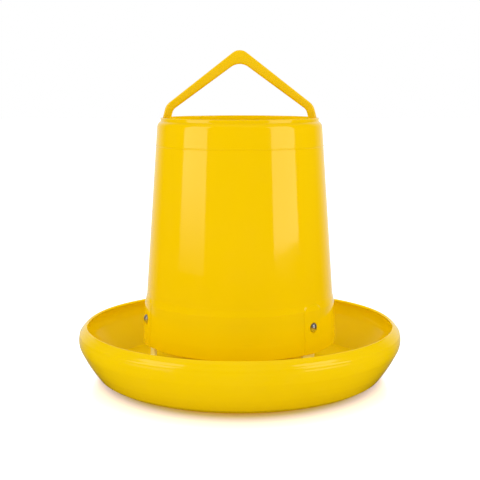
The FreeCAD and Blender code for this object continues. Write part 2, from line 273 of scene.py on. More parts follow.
# %% Shader helpers
noise_middle = (0.3, 0.7)


def shader_node(tree, kind, *inputs, **values):
    """New node of the type ShaderNode + kind. Another node's output is linked, and any other value is set.

    The inputs are given in order, and the values by the name of an input or of a property.
    """
    node = tree.nodes.new("ShaderNode" + kind)
    for key, value in [*enumerate(inputs), *values.items()]:
        if isinstance(key, str) and key not in node.inputs:
            setattr(node, key, value)
        elif isinstance(value, bpy.types.NodeSocket):
            tree.links.new(value, node.inputs[key])
        else:
            node.inputs[key].default_value = value
    return node


def noise(tree, scale, detail, stretch=(1, 1, 1)):
    """Noise on the object's own coordinates. A stretch under 1 draws the pattern out along that axis."""
    place = shader_node(tree, "TexCoord").outputs["Object"]
    place = shader_node(tree, "Mapping", Vector=place, Scale=stretch).outputs["Vector"]
    return shader_node(tree, "TexNoise", Vector=place, Scale=scale, Detail=detail).outputs["Fac"]


def ranged(tree, value, start, end, low, high, **settings):
    """A value that goes from low to high while the given one goes from start to end."""
    limits = {"From Min": start, "From Max": end, "To Min": low, "To Max": high}
    return shader_node(tree, "MapRange", Value=value, **limits, **settings).outputs["Result"]


def between(tree, factor, low, high):
    """A value that runs from low to high while the noise runs through its middle range."""
    return ranged(tree, factor, *noise_middle, low, high)


def along(tree, vector, axis, start, end, low, high):
    """A value that goes smoothly from low to high while one axis of the vector goes from start to end."""
    split = shader_node(tree, "SeparateXYZ", Vector=vector)
    return ranged(tree, split.outputs[axis], start, end, low, high, interpolation_type="SMOOTHSTEP")


# %% Glossy moulded plastic
polypropylene_ior = 1.49
warm_gloss = (1.0, 0.92, 0.72, 1)


def surface(name, colour, other, gloss, colour_noise, gloss_noise, bump_noise, strength, depth):
    """Material whose colour drifts to another, with a range of roughness and a fine bump; and its shader.

    Each noise is (scale, detail) or (scale, detail, stretch). The bump's depth is in metres.
    """
    material = bpy.data.materials.new(name)
    material.use_nodes = True
    tree = material.node_tree
    shader = tree.nodes["Principled BSDF"]
    drift = between(tree, noise(tree, *colour_noise), 0, 1)
    mix = shader_node(tree, "Mix", data_type="RGBA", Factor=drift, A=(*colour, 1), B=(*other, 1))
    tree.links.new(mix.outputs["Result"], shader.inputs["Base Color"])
    tree.links.new(between(tree, noise(tree, *gloss_noise), *gloss), shader.inputs["Roughness"])
    waves = noise(tree, *bump_noise)
    bump = shader_node(tree, "Bump", Strength=strength, Distance=depth, Height=waves)
    tree.links.new(bump.outputs["Normal"], shader.inputs["Normal"])
    return material, shader


def plastic(name, colour, deeper, gloss=(0.05, 0.10), flow=(1, 1, 0.25), peel=0.05, peel_scale=420):
    """Plastic whose colour drifts between two tones along the melt's flow, with a peel of this strength."""
    material, shader = surface(name, colour, deeper, gloss, colour_noise=(16, 3, flow), gloss_noise=(55, 4),
                               bump_noise=(peel_scale, 2), strength=peel, depth=0.0004)
    shader.inputs["IOR"].default_value = polypropylene_ior
    shader.inputs["Specular Tint"].default_value = warm_gloss
    return material


pan_plastic = plastic("pan_plastic_finish", (0.885, 0.585, 0), (0.855, 0.558, 0), gloss=(0.08, 0.14),
                      flow=(1, 1, 1))
hopper_plastic = plastic("hopper_plastic_finish", (0.895, 0.562, 0), (0.865, 0.540, 0))
handle_plastic = plastic("handle_plastic_finish", (0.920, 0.580, 0), (0.890, 0.555, 0), gloss=(0.13, 0.2),
                         flow=(0.4, 1, 1), peel=0.2, peel_scale=60)
# The legs' pale cream is lighter than their yellow plastic: a painted highlight, lifted further against the
# shade under the skirt.
leg_plastic_with_painted_highlight = plastic("leg_plastic_finish", (0.980, 0.930, 0.460), (0.960, 0.900, 0.420), gloss=(0.3, 0.42))
print("made", len(bpy.data.materials), "materials so far")

# %% [markdown]
# ## Bright zinc on screws and nuts
# The fasteners are small steel parts with a thin bright zinc coat. Metal shows its surroundings, so most of
# its look is roughness: a coat with fine clouds and grain. It is duller and more uneven on the nuts.

# %% Bright zinc on screws and nuts
def zinc(name, colour, duller, gloss):
    """Metal with clouds of a duller tone, and a finer grain in its gloss and bump."""
    material, shader = surface(name, colour, duller, gloss, colour_noise=(380, 3), gloss_noise=(900, 3),
                               bump_noise=(1600, 2), strength=0.12, depth=0.0001)
    shader.inputs["Metallic"].default_value = 1.0
    return material


screw_steel = zinc("screw_steel_finish", (0.80, 0.79, 0.76), (0.66, 0.65, 0.62), gloss=(0.30, 0.42))
nut_steel = zinc("nut_steel_finish", (0.72, 0.71, 0.67), (0.56, 0.55, 0.52), gloss=(0.26, 0.42))


def finished(piece, node, material):
    """Gives a new piece its material, and lets it stand for the CAD node of the same place."""
    piece.data.materials.clear()
    piece.data.materials.append(material)
    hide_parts(node)
    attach(piece, "root")
    report(piece)


# %% [markdown]
# ## The feed pan
# The pan is one moulding: a cone that spreads the feed, a flat step that the legs stand on, a trough, and a
# side that swells out and rolls in at the lip, so that the birds can't rake feed out. Its wall is the same
# thickness all over, as injection moulding wants it. So its underside is drawn once as a line, and the top is
# the parallel line. Both are turned round the axis. The pan stands on a low ring under its floor.

# %% The feed pan
pan_radius = 177.8
pan_wall = 2.6
pan_columns = 256
widest_height = 43
side_round = 22
lip_round = 17.5
slope_change = 19
slope_blend = 150
floor_lift = 2.0
plateau_lift = 5.5
cone_tip = plateau_lift + 46
cone_round = 12
leg_face = 99.7
foot_hole = leg_face - 14


def pan_underside(stand_ring):
    """Underside from the tip of the cone to the lip. The side's corners are where its runs would meet."""
    upper, lower, turn = (math.radians(value) for value in (27, 36, 56))
    side_corner = widest_height - side_round * math.tan(upper / 2)
    middle = pan_radius - (side_corner - slope_change) * math.tan(upper)
    base = middle - (slope_change - floor_lift) * math.tan(lower)
    lip_run = lip_round * math.tan(turn / 2)
    ring = [(base - 10.5, floor_lift, 0.3), (base - 10, 0, 0.5), (base - 5, 0, 0.5),
            (base - 4.5, floor_lift, 0.3)]
    return [
        (0, cone_tip, 0), (cone_round, cone_tip, cone_round), (leg_face - 29.9, plateau_lift, 5),
        (leg_face + 5, plateau_lift, 0.8), (leg_face + 10, floor_lift, 0.8)] + ring * stand_ring + [
        (base, floor_lift, 7), (middle, slope_change, slope_blend), (pan_radius, side_corner, side_round),
        (pan_radius, widest_height + lip_run, lip_round),
        (pan_radius - lip_run * math.sin(turn), widest_height + lip_run * (1 + math.cos(turn)), 0)]


def with_bead(line, centre, width, proud):
    """Raises a low ridge. At distance d from its centre it is proud * cos^2(90 degrees * 2 d / width)."""
    away = np.linalg.norm(line - centre, axis=1) / (width / 2)
    lift = proud * np.cos(np.minimum(away, 1) * math.pi / 2) ** 2
    return line - (offset(line, 1.0) - line) * lift[:, None]


def blunted(line, parallel):
    """Joins two parallel lines at their ends with an edge that is rounded at both corners."""
    onward = unit(line[-1] - line[-2]) * pan_wall / 3
    corners = [line[-1], line[-1] + onward, parallel[-1] + onward, parallel[-1]]
    end = rounded_line([(*corners[0], 0), (*corners[1], 0.8), (*corners[2], 0.8), (*corners[3], 0)], turn=15)
    return np.concatenate([line[:-1], end, parallel[-2::-1]])


top_side, underside = (finer(rounded_line(pan_underside(ring), turn=4), 3.5) for ring in (False, True))
top_side = offset(top_side, pan_wall)
bead_turn = math.radians(23)
bead_centre = np.array([pan_radius - lip_round * (1 - math.cos(bead_turn)),
                        widest_height + lip_round * math.sin(bead_turn)])
underside = with_bead(finer(underside, 1.0), bead_centre, width=5.0, proud=0.4)
pan_section = blunted(underside, top_side)
pan_section[[0, -1], 0] = 0
feed_pan = new_piece("feed_pan_moulding", turned(pan_section, even_angles(pan_columns)), sharp=40)
for angle in leg_angles.values():
    drilled(feed_pan, (foot_hole, 0, 3), (foot_hole, 0, 11), angle)
finished(feed_pan, "feed_pan", pan_plastic)

# %% [markdown]
# ## The hopper
# The hopper is a tapered tube, open at both ends. It starts with a straighter skirt and a small step, then
# tapers up to a shoulder and neck, with a fine ring where the mould's halves part. Three low pads stand out of
# the skirt where the screws are, and behind each is a flat boss, because a leg needs an upright face. A
# sculpted bump would do from afar, but pads and bosses are worked out instead: each point of the grid asks how
# far it is inside a rounded rectangle, and moves to the pad's or the boss's face over the last millimetre.

# %% The hopper's section
hopper_bottom = 39.9
hopper_top = 283.7
hopper_wall = 2.2
skirt_radius = 106
step_start, step_end, shoulder, neck = (104.3, 85), (102.65, 92), (89.35, 277.5), (85.7, 280)
step_round, shoulder_round, neck_round, rim_round = 4, 6.5, 1.6, 0.9
edge_middle, rim_middle = (105.1, hopper_bottom, 0), (84.6, hopper_top, 0)
band_top = 53.3
band_proud = 0.25
band_blend = 4
ring_height = 254.0
ring_proud = 0.35
hopper_corners = np.array([(skirt_radius, hopper_bottom), step_start, step_end, shoulder, neck,
                           (neck[0], hopper_top)])
inner_corners = offset(hopper_corners, hopper_wall)


def outer_wall(height):
    """Outer radius of skirt, step or taper at a height: straight runs between the corners of the section."""
    return np.interp(height, hopper_corners[:, 1], hopper_corners[:, 0])


def hopper_sides():
    """Outside from the bottom edge to the rim, and inside back down, with close rows at the tops of the pads.

    The rounding inside is the outside's plus the wall at the neck, and less the wall at the shoulder.
    """
    skirt = np.concatenate([np.arange(61, 82, 4.0), np.arange(82.5, 84.5, 0.6)])
    step = np.arange(85.6, 91.5, 0.6)
    above = np.concatenate([np.arange(93, 96, 1.5), np.arange(98, 252, 6.0)])
    rows = (skirt, step, above, (262, 268))
    skirt, step, above, upper = ([(outer_wall(z), z, 0) for z in heights] for heights in rows)
    ring = [(outer_wall(ring_height + up) + proud, ring_height + up, 0.3)
            for up, proud in ((-0.8, 0), (-0.3, ring_proud), (0.3, ring_proud), (0.8, 0))]
    band_end = band_top + band_blend
    band = [(skirt_radius + band_proud, hopper_bottom, 0.7),
            (outer_wall(band_top) + band_proud, band_top, band_blend),
            (outer_wall(band_end), band_end, band_blend)]
    head = [(*shoulder, shoulder_round), (*neck, neck_round), (neck[0], hopper_top, rim_round), rim_middle]
    outside = [edge_middle] + band + skirt + [(*step_start, step_round)] + step + [(*step_end, step_round)]
    outside += above + ring + upper + head
    back = [z for _, z, _ in reversed(skirt + step + above)]
    back = [(np.interp(z, inner_corners[:, 1], inner_corners[:, 0]), z, 0) for z in back]
    inside = [rim_middle, (*inner_corners[5], rim_round), (*inner_corners[4], neck_round + hopper_wall),
              (*inner_corners[3], shoulder_round - hopper_wall)]
    inside += back + [(*inner_corners[0], 0.5), edge_middle]
    return rounded_line(outside), rounded_line(inside)[1:-1]


def smooth_step(value, low, high):
    """0 below low, 1 above high, and 3 t^2 - 2 t^3 between them."""
    t = np.clip((value - low) / (high - low), 0, 1)
    return t * t * (3 - 2 * t)


def hopper_columns():
    """Angles of the columns, close together at the sides of the pads and 2 degrees apart elsewhere."""
    half = np.concatenate([np.linspace(0, 6, 4), np.linspace(7, 12, 6), np.linspace(12.5, 14.5, 9),
                           [15.5, 17.5, 20]])
    across = np.degrees(np.arcsin(np.concatenate([-half[:0:-1], half]) / skirt_radius))
    clusters = [angle - 90 + across for angle in sorted(leg_angles.values())]
    angles = []
    for cluster, following in zip(clusters, clusters[1:] + [clusters[0] + 360]):
        gap = np.linspace(cluster[-1], following[0], math.ceil((following[0] - cluster[-1]) / 2) + 1)
        angles += [cluster, gap[1:-1]]
    return np.radians(np.concatenate(angles))


# %% The hopper's pads and bosses
pad_width = 27
pad_height = 50.4
pad_round = 7
pad_proud = 0.8
boss_face = leg_face + 0.3
leg_sector = 0.3


def off_leg(angles):
    """Angle from the nearest leg, for each column."""
    turns = np.array([math.radians(angle - 90) for angle in leg_angles.values()])
    away = (angles[:, None] - turns + math.pi) % (2 * math.pi) - math.pi
    return away[np.arange(len(angles)), np.abs(away).argmin(axis=1)]


def on_pad(radius, height, away, edge):
    """1 inside a pad's rectangle, 0 outside it, smooth over the edge's width. It stands on the hopper's edge.

    The distance outside a rounded rectangle is the length of the part of q above 0, less the corners' radius,
    where q is how far the point lies beyond the rectangle of the corners' centres.
    """
    q_across = np.abs(radius * np.sin(away)) - (pad_width / 2 - pad_round)
    q_up = height - (hopper_bottom + pad_height - pad_round)
    beyond = np.hypot(np.maximum(q_across, 0), np.maximum(q_up, 0))
    outside = beyond + np.minimum(np.maximum(q_across, q_up), 0) - pad_round
    return smooth_step(-outside, -edge / 2, edge / 2)


outside_line, inside_line = hopper_sides()
columns = hopper_columns()
away = off_leg(columns)
near_leg = np.where(np.abs(away) < leg_sector, away, leg_sector)
outer_radius, outer_height = outside_line[:, :1], outside_line[:, 1:]
outer_radius = outer_radius + pad_proud * on_pad(outer_radius, outer_height, near_leg, edge=1.2)
outer_radius[0] = edge_middle[0]
inner_radius = inside_line[:, :1] + 0 * near_leg
flat_radius = np.minimum(inner_radius, boss_face / np.cos(near_leg))
inner_radius += (flat_radius - inner_radius) * on_pad(inner_radius, inside_line[:, 1:], near_leg, edge=0.8)
radius = np.concatenate([outer_radius, inner_radius])
height = np.concatenate([outside_line, inside_line])[:, 1:] + 0 * radius
hopper_points = np.stack([radius * np.cos(columns), radius * np.sin(columns), height], axis=-1)
hopper = new_piece("hopper_moulding", hopper_points, sharp=40, close_rows=True)
print("hopper grid", radius.shape, "radius from %.1f to %.1f" % (radius.min(), radius.max()))

# %% [markdown]
# ## Holes of the hopper
# Each pad has a screw hole and a shallow flat for the head. On the left and right, under the shoulder, a slot
# goes through the wall, and the handle's teeth catch in it.

# %% Holes of the hopper
screw_level = 67.5
screw_seat = outer_wall(screw_level) + pad_proud - 0.9
head_clearance = 5.65
for angle in leg_angles.values():
    drilled(hopper, (95, 0, screw_level), (112, 0, screw_level), angle)
    drilled(hopper, (screw_seat, 0, screw_level), (112, 0, screw_level), angle, radius=head_clearance)
slot_bottom, slot_top, slot_half_width = 263.9, 270.5, 4.3
for side in (-1, 1):
    corners = [(78, slot_bottom), (95, slot_bottom), (95, slot_top), (78, slot_top)]
    slot = prism([(side * x, z) for x, z in corners], -slot_half_width, slot_half_width)
    combined(hopper, slot, "DIFFERENCE", sharp=40)
finished(hopper, "hopper", hopper_plastic)

# %% [markdown]
# ## The carrying handle
# The handle is a bar with rounded edges, bent to a point so that a hook finds the feeder's middle. Its front
# view is two lines, the outside and the inside, with equally many points on each arc, so their points pair up.
# Between each pair lies one section, a rounded rectangle, and the sections make the grid. Sweeping one section
# along a curve would be simpler, but the real bar is thicker at its point than in its arms.

# %% A section carried along a path
def carried(centre, across, depth, corner, arc=4):
    """Rounded rectangles along a path in XZ, as an array of rows.

    In each row a point is centre + u * across / |across| + v * Y, where u = +-(|across| - c) + c cos a and
    v = +-(depth - c) + c sin a, for a corner of radius c and the angle a round the section.
    """
    quarters = np.arange(4)[:, None] * math.pi / 2 + np.linspace(0, math.pi / 2, arc + 1)
    sign_u, sign_v = (np.repeat(signs, arc + 1) for signs in ([1, -1, -1, 1], [1, 1, -1, -1]))
    a = quarters.ravel()
    half = np.linalg.norm(across, axis=1)
    outward = across / half[:, None]
    corner, depth = corner[:, None], depth[:, None]
    u = sign_u * (half[:, None] - corner) + corner * np.cos(a)
    v = sign_v * (depth - corner) + corner * np.sin(a)
    return np.stack([centre[:, :1] + outward[:, :1] * u, v, centre[:, 1:] + outward[:, 1:] * u], axis=-1)


def rounded_end(centre, across, depth, edge, steps=4):
    """Rows that round off the first end. At an angle b, each side has come in by edge * (1 - cos b)."""
    b = np.radians(np.linspace(90, 0, steps + 1))[:-1]
    outward = unit(centre[0] - centre[1])
    half = np.linalg.norm(across[0])
    ends = centre[0] - outward * (edge * (1 - np.sin(b)))[:, None]
    sides = across[0] * ((half - edge + edge * np.cos(b)) / half)[:, None]
    return ends, sides, depth[0] - edge + edge * np.cos(b), edge * np.cos(b)


def bar(centre, across, depth, edge):
    """Grid of a closed bar along a path, rounded at both ends."""
    head = rounded_end(centre, across, depth, edge)
    tail = [part[::-1] for part in rounded_end(centre[::-1], across[::-1], depth[::-1], edge)]
    middle = (centre[1:-1], across[1:-1], depth[1:-1], np.full(len(centre) - 2, edge))
    rows = carried(*(np.concatenate(parts) for parts in zip(head, middle, tail)))
    first, last = (row.mean(axis=1, keepdims=True) + 0 * row for row in (rows[:1], rows[-1:]))
    return np.concatenate([first, rows, last])


# %% The carrying handle
handle_depth = 8.0
arm_width = 9
arm_foot = -24
lean_start = 0.5


def handle_lines():
    """Outside and inside of the handle's front view, from the right foot over the point to the left foot.

    The arms stand upright in the neck, with their front and back edges 0.3 clear of its wall. Above the rim
    they lean in by 15 degrees as far as the elbow. Each corner is (x, height above the rim, radius).
    """
    outer_x = math.sqrt((neck[0] - hopper_wall) ** 2 - (handle_depth / 2) ** 2) - 0.3
    inner_x = outer_x - arm_width
    lean = math.tan(math.radians(15))
    outer = [(outer_x, arm_foot, 0), (outer_x, lean_start, 10), (outer_x - 12.9 * lean, 13.4, 14),
             (0, 75.2, 12.5)]
    inner = [(inner_x, arm_foot, 0), (inner_x, lean_start, 10), (inner_x - 8 * lean, 8.5, 9), (0, 60.65, 15.2)]
    whole = [half + [(-x, z, r) for x, z, r in half[2::-1]] for half in (outer, inner)]
    lines = [rounded_line(corners, count=11) + (0, hopper_top) for corners in whole]
    return [finer(line, 5, like=lines[0]) for line in lines]


outer_line, inner_line = handle_lines()
across = (outer_line - inner_line) / 2
half_depths = np.full(len(across), handle_depth / 2)
handle = new_piece("handle_moulding", bar((outer_line + inner_line) / 2, across, half_depths, edge=2.2))
print("the handle's point is at height %.1f" % outer_line[:, 1].max())

# %% [markdown]
# ## The handle's teeth
# Each end of the handle has a square tooth with a ramp below. The ramp pushes the end inwards as the handle
# goes down into the neck, and the flat top then stops it from coming out of the slot. A Boolean union makes
# handle and teeth one skin, as in the mould.

# %% The handle's teeth
def eased(piece, width, segments=3):
    """Rounds every crisp edge with a Bevel modifier, and keeps the result."""
    bevel = piece.modifiers.new("eased_edges", "BEVEL")
    bevel.width = width * MM
    bevel.segments = segments
    bevel.limit_method = "ANGLE"
    with_modifiers_applied(piece)


tooth_top = hopper_top - 13.5
tooth_root = 77.8
tooth_tip = outer_wall(tooth_top) - 0.4
tooth_height = 6
for side in (-1, 1):
    outline = [(tooth_root, tooth_top), (tooth_tip, tooth_top), (tooth_tip, tooth_top - tooth_height / 2),
               (tooth_tip - 2, tooth_top - tooth_height), (tooth_root, tooth_top - tooth_height)]
    tooth = prism([(side * x, z) for x, z in outline], -handle_depth / 2, handle_depth / 2)
    eased(tooth, width=0.5)
    combined(handle, tooth, "UNION")
finished(handle, "carrying_handle", handle_plastic)

# %% [markdown]
# ## The legs
# A leg is a flat strip bent into an L. It stands against the boss behind a pad, and its foot points inwards on
# the pan's step. Its ends have round corners, and it has three holes one above the other, so the hopper can be
# screwed higher or lower to set the flow of feed. It is the same kind of grid as the handle's: a rounded
# rectangle carried along the strip's middle line, with its width drawn in along a quarter circle at each end.

# %% The legs
leg_width = 18
leg_thickness = 3
leg_corner = 3
foot_length = 23
leg_top = 88.3
hole_spacing = 11


def leg_strip():
    """Grid of the strip. Its half width w narrows towards an end, over the corner's radius c.

    At a distance s from the end, w = half the width - c + sqrt(c^2 - (c - s)^2).
    """
    level = plateau_lift + pan_wall + leg_thickness / 2
    upright = leg_face - leg_thickness / 2
    corners = [(leg_face - foot_length, level, 0), (upright, level, 2.5), (upright, leg_top, 0)]
    line = rounded_line(corners, turn=12)
    ends = leg_corner * (1 - np.cos(np.radians(np.linspace(0, 90, 7))))[1:, None]
    first = line[0] + unit(line[1] - line[0]) * ends
    last = line[-1] + unit(line[-2] - line[-1]) * ends
    line = np.concatenate([line[:1], first, line[1:-1], last[::-1], line[-1:]])
    travelled = np.concatenate([[0], np.cumsum(np.linalg.norm(np.diff(line, axis=0), axis=1))])
    to_end = np.minimum(np.minimum(travelled, travelled[-1] - travelled), leg_corner)
    width = leg_width / 2 - leg_corner + np.sqrt(leg_corner ** 2 - (leg_corner - to_end) ** 2)
    return bar(line, offset(line, leg_thickness / 2) - line, width, edge=0.35)


for name, angle in leg_angles.items():
    leg = new_piece("leg_strip_" + name, leg_strip(), sharp=40)
    for level in (screw_level - hole_spacing, screw_level, screw_level + hole_spacing):
        drilled(leg, (94, 0, level), (102, 0, level), columns=32)
    drilled(leg, (foot_hole, 0, 6), (foot_hole, 0, 13), columns=32)
    leg.data.transform(turn_matrix(angle))
    finished(leg, "leg_" + name, leg_plastic_with_painted_highlight)

# %% [markdown]
# ## Screws and nuts
# Six equal screws hold the feeder together: one through each pad, and one through the floor under each foot.
# The shank is a height field on a cylinder. The groove of a thread comes back after each pitch along the axis,
# and it moves on by one pitch in a full turn, so its depth depends on x / pitch + angle / full turn alone.
# One screw and one nut are made at the origin, and each place gets a copy that is turned and moved as a mesh.

# %% The screw
pitch = 0.8
thread_depth = 0.42
head_radius = 4.75
head_height = 3.7
dome_rise = 2.7
dome_edge = 4.6
shank_radius = 2.5


def round_x(along_axis, radius, angles):
    """Surface round the X axis, from each row's place along the axis and its radii."""
    return np.stack([along_axis + 0 * angles, radius * np.cos(angles), radius * np.sin(angles)], axis=-1)


def screw_grid(columns=40):
    """Domed head with its seat at x = 0, and a threaded shank down to x = -14.

    The dome is part of a ball of radius (head radius^2 + rise^2) / (2 * rise).
    """
    dome = (head_radius ** 2 + dome_rise ** 2) / (2 * dome_rise)
    head_r = np.linspace(0, dome_edge, 14)
    head_x = head_height - (dome - np.sqrt(dome ** 2 - head_r ** 2))
    rim = rounded_line([(dome_edge, head_x[-1], 0), (head_radius, 0.95, 0.15), (head_radius, 0, 0.2),
                        (shank_radius, 0, 0.1), (shank_radius, -0.5, 0)], turn=20)[1:]
    shank_x = np.arange(-0.6, -13.45, -pitch / 8)
    section = np.concatenate([np.stack([head_r, head_x], axis=1), rim,
                              np.stack([np.full(len(shank_x), shank_radius), shank_x], axis=1),
                              [(2.2, -13.7), (1.8, -14), (0, -14)]])
    section_r, section_x = section[:, :1], section[:, 1:]
    angles = even_angles(columns)
    wave = np.abs(2 * ((section_x / pitch + angles / (2 * math.pi)) % 1) - 1)
    on_shank = smooth_step(-section_x, 0.5, 1.0) * smooth_step(section_x, -13.9, -13.3)
    depth = thread_depth * on_shank * smooth_step(wave, 0.1, 0.9)
    radius = np.maximum(section_r - depth, 0) * (section_r > 0)
    return round_x(section_x, radius, angles)


screw = new_piece("screw", screw_grid(), sharp=30)
recess_sides = [(4.7, -2.3), (4.7, 2.3), (1.7, 1.3), (1.7, -1.3)]
recess_half_width = 0.55
for turn in (0, 90):
    cross = prism(recess_sides, -recess_half_width, recess_half_width)
    cross.data.transform(Matrix.Rotation(math.radians(turn), 4, "X"))
    combined(screw, cross, "DIFFERENCE", sharp=30)
report(screw)

# %% [markdown]
# ## The nut
# A nut is cut from a hexagon bar and then turned, which takes a cone off its corners. On a grid round the axis
# the flats lie at radius h / cos(angle from the middle of the flat), where h is half the width across flats.
# The turned end drops by (radius - r) * tan 30 beyond the radius r of its flat face, so the chamfer comes out
# deep at the corners and thin on the flats.

# %% The nut
nut_half = 4
nut_height = 4
face_radius = 3.8
bore_radius = 2.55
bore_chamfer = 0.3


def nut_grid(columns=72):
    """Rows from the bore's upper end over the top, down the flats and back to the bore's lower end."""
    angles = even_angles(columns)
    flat = nut_half / np.cos(angles % (math.pi / 3) - math.pi / 6)
    face = np.minimum(flat, face_radius)
    drop = (flat - face_radius) * math.tan(math.radians(30))
    upper = [(bore_radius, -bore_chamfer), (bore_radius + bore_chamfer, 0), (face, 0), (flat, -drop)]
    rows = upper + [(radius, -nut_height - depth) for radius, depth in reversed(upper)]
    radius, depth = (np.stack([part + 0 * angles for part in parts]) for parts in zip(*rows))
    return round_x(depth, radius, angles)


nut = new_piece("nut", nut_grid(), sharp=25, close_rows=True)
report(nut)

# %% Fasteners in their places
def copy_to(master, name, place, node, material):
    """Copy of a screw or nut with its mesh moved by this matrix, in place of this CAD node."""
    piece = placed(name, master.data.copy())
    piece.data.transform(place)
    piece.data.name = name
    finished(piece, node, material)


def at(angle, *place):
    """Move to a point that is given for the +X side, and turn from there to this angle from the front."""
    return turn_matrix(angle) @ Matrix.Translation(Vector(place) * MM)


def in_pad(angle, seat, turn=0):
    """Place in a pad's hole: the seat lies this far from the axis, and the part is turned on its own axis."""
    return at(angle, seat, 0, screw_level) @ Matrix.Rotation(turn, 4, "X")


def in_floor(angle, seat, turn=0):
    """Place in a hole of the floor, head down, with the seat at this height."""
    down = Matrix.Rotation(math.radians(90), 4, "Y")
    return at(angle, foot_hole, 0, seat) @ down @ Matrix.Rotation(turn, 4, "X")


foot_top = plateau_lift + pan_wall + leg_thickness
for number, (name, angle) in enumerate(leg_angles.items()):
    turn = 0.5 + 0.7 * number
    pad_screw, pad_nut = in_pad(angle, screw_seat, turn), in_pad(angle, leg_face - leg_thickness)
    floor_screw, floor_nut = in_floor(angle, plateau_lift, turn + 0.4), in_floor(angle, foot_top)
    copy_to(screw, "pad_screw_" + name, pad_screw, "hopper_screw_" + name, screw_steel)
    copy_to(nut, "pad_nut_" + name, pad_nut, "hopper_nut_" + name, nut_steel)
    copy_to(screw, "floor_screw_" + name, floor_screw, "foot_screw_" + name, screw_steel)
    copy_to(nut, "floor_nut_" + name, floor_nut, "foot_nut_" + name, nut_steel)
for master in (screw, nut):
    bpy.data.objects.remove(master)

# %% [markdown]
# ## Floor and background
# The picture has no visible room: the floor and the wall behind it run into one white. The floor is a large
# disc that plays three parts, and Light Path picks one for each ray. Matt surfaces get pale light from it.
# Glossy ones see it dim in front and pale behind, like the room. The camera sees a slightly polished floor that
# mirrors the pan close by, which warms the contact shadow. Its own light goes by the distance from the axis:
# low round the pan, a painted shadow, orange at the contact, a painted glow, and white farther out. Its matt
# part for the camera is tinted warm, a painted bounce of yellow light from the pan.

# %% Floor
def stage_piece(name, grid, close_columns=True):
    """Part of the studio, from a grid of points in metres."""
    mesh = bpy.data.meshes.new(name)
    faces = grid_faces(*grid.shape[:2], close_columns=close_columns)
    mesh.from_pydata(grid.reshape(-1, 3).tolist(), [], faces.tolist())
    item = placed(name, mesh)
    return item


floor_rings = np.array([(radius, 0) for radius in (0, 300, 1000, 3000, 9000)])
floor = stage_piece("floor", turned(floor_rings, even_angles(96)) * MM)


def choice(tree, factor, first, second):
    """The first shader where the factor is 0, the second where it is 1."""
    return shader_node(tree, "MixShader", factor, first, second).outputs[0]


def added(tree, first, *others):
    """Shaders whose light is added up."""
    total = first.outputs[0]
    for other in others:
        total = shader_node(tree, "AddShader", total, other.outputs[0]).outputs[0]
    return total


# %% The floor's paint and painted shadow
# What the gloss sees, by a direction's Y: from 0.5 to 1.05 its surroundings go from nearly black to pale.
behind_feeder = (0.5, 1.05, 0.01, 0.9)
sideways_stretch = (1.12, 1, 1)
pale_from = (0, 0.15, 0)


def floor_paint_and_painted_shadow(albedo, floor_light_and_painted_shadow_by_distance):
    """Matt white. In the feeder's gloss it is dim except behind, and for the camera it shines farther out.

    Its own light for the camera goes by the distance from the axis in metres, stretched sideways, as the shadow
    is an
    ellipse: low near the feeder, which paints the shadow, orange at the contact as a painted glow, and white
    farther out. The camera's matt part is tinted warm, a painted bounce of light from the yellow pan.
    What is behind goes by the direction in which a point lies, seen from a little in front of the axis.
    """
    material = bpy.data.materials.new("floor_paint_and_painted_shadow")
    material.use_nodes = True
    material.cycles.emission_sampling = "NONE"
    tree = material.node_tree
    tree.nodes.clear()
    path = shader_node(tree, "LightPath")
    matt = shader_node(tree, "BsdfDiffuse", Color=(albedo, albedo, albedo, 1))
    glow = shader_node(tree, "Emission", Strength=0.10)
    # Warm matt for the camera: its tint is a painted bounce of yellow light from the pan.
    painted_bounce_matt = shader_node(tree, "BsdfDiffuse", Color=(0.39, 0.29, 0.10, 1))
    sheen = shader_node(tree, "BsdfGlossy", Color=(0.42, 0.42, 0.42, 1), Roughness=0.12)
    place = shader_node(tree, "TexCoord").outputs["Object"]
    stretched = shader_node(tree, "VectorMath", place, sideways_stretch, operation="MULTIPLY").outputs["Vector"]
    away = shader_node(tree, "VectorMath", stretched, operation="LENGTH").outputs["Value"]
    ramp = shader_node(tree, "ValToRGB", Fac=away)
    stops = ramp.color_ramp.elements
    for distance, colour in floor_light_and_painted_shadow_by_distance:
        stops.new(distance).color = (*colour, 1)
    stops.remove(stops[0])
    stops.remove(stops[-1])
    floor_light_and_painted_shadow = shader_node(tree, "Emission", Color=ramp.outputs["Color"])
    ahead = shader_node(tree, "VectorMath", place, pale_from, operation="ADD").outputs["Vector"]
    toward = shader_node(tree, "VectorMath", ahead, operation="NORMALIZE").outputs["Vector"]
    pale_behind = along(tree, toward, "Y", *behind_feeder)
    mirrored = shader_node(tree, "Emission", Strength=pale_behind)
    lit = choice(tree, path.outputs["Is Glossy Ray"], added(tree, matt, glow), mirrored.outputs[0])
    seen = added(tree, painted_bounce_matt, sheen, floor_light_and_painted_shadow)
    shown = choice(tree, path.outputs["Is Camera Ray"], lit, seen)
    shader_node(tree, "OutputMaterial", Surface=shown)
    return material


# Near the pan the floor's own light is low, a painted shadow, and orange at the contact, a painted glow; from
# 0.23 m out it is plain white.
floor.data.materials.append(floor_paint_and_painted_shadow(albedo=0.92, floor_light_and_painted_shadow_by_distance=[
    (0.150, (0.20, 0.06, 0.0)), (0.161, (0.15, 0.17, 0.10)), (0.171, (0.30, 0.32, 0.46)),
    (0.183, (0.60, 0.64, 0.72)), (0.199, (0.92, 0.92, 0.92)), (0.23, (1.0, 1.0, 1.0))]))
print("the floor reaches", floor.dimensions[0] / 2, "m from the axis")

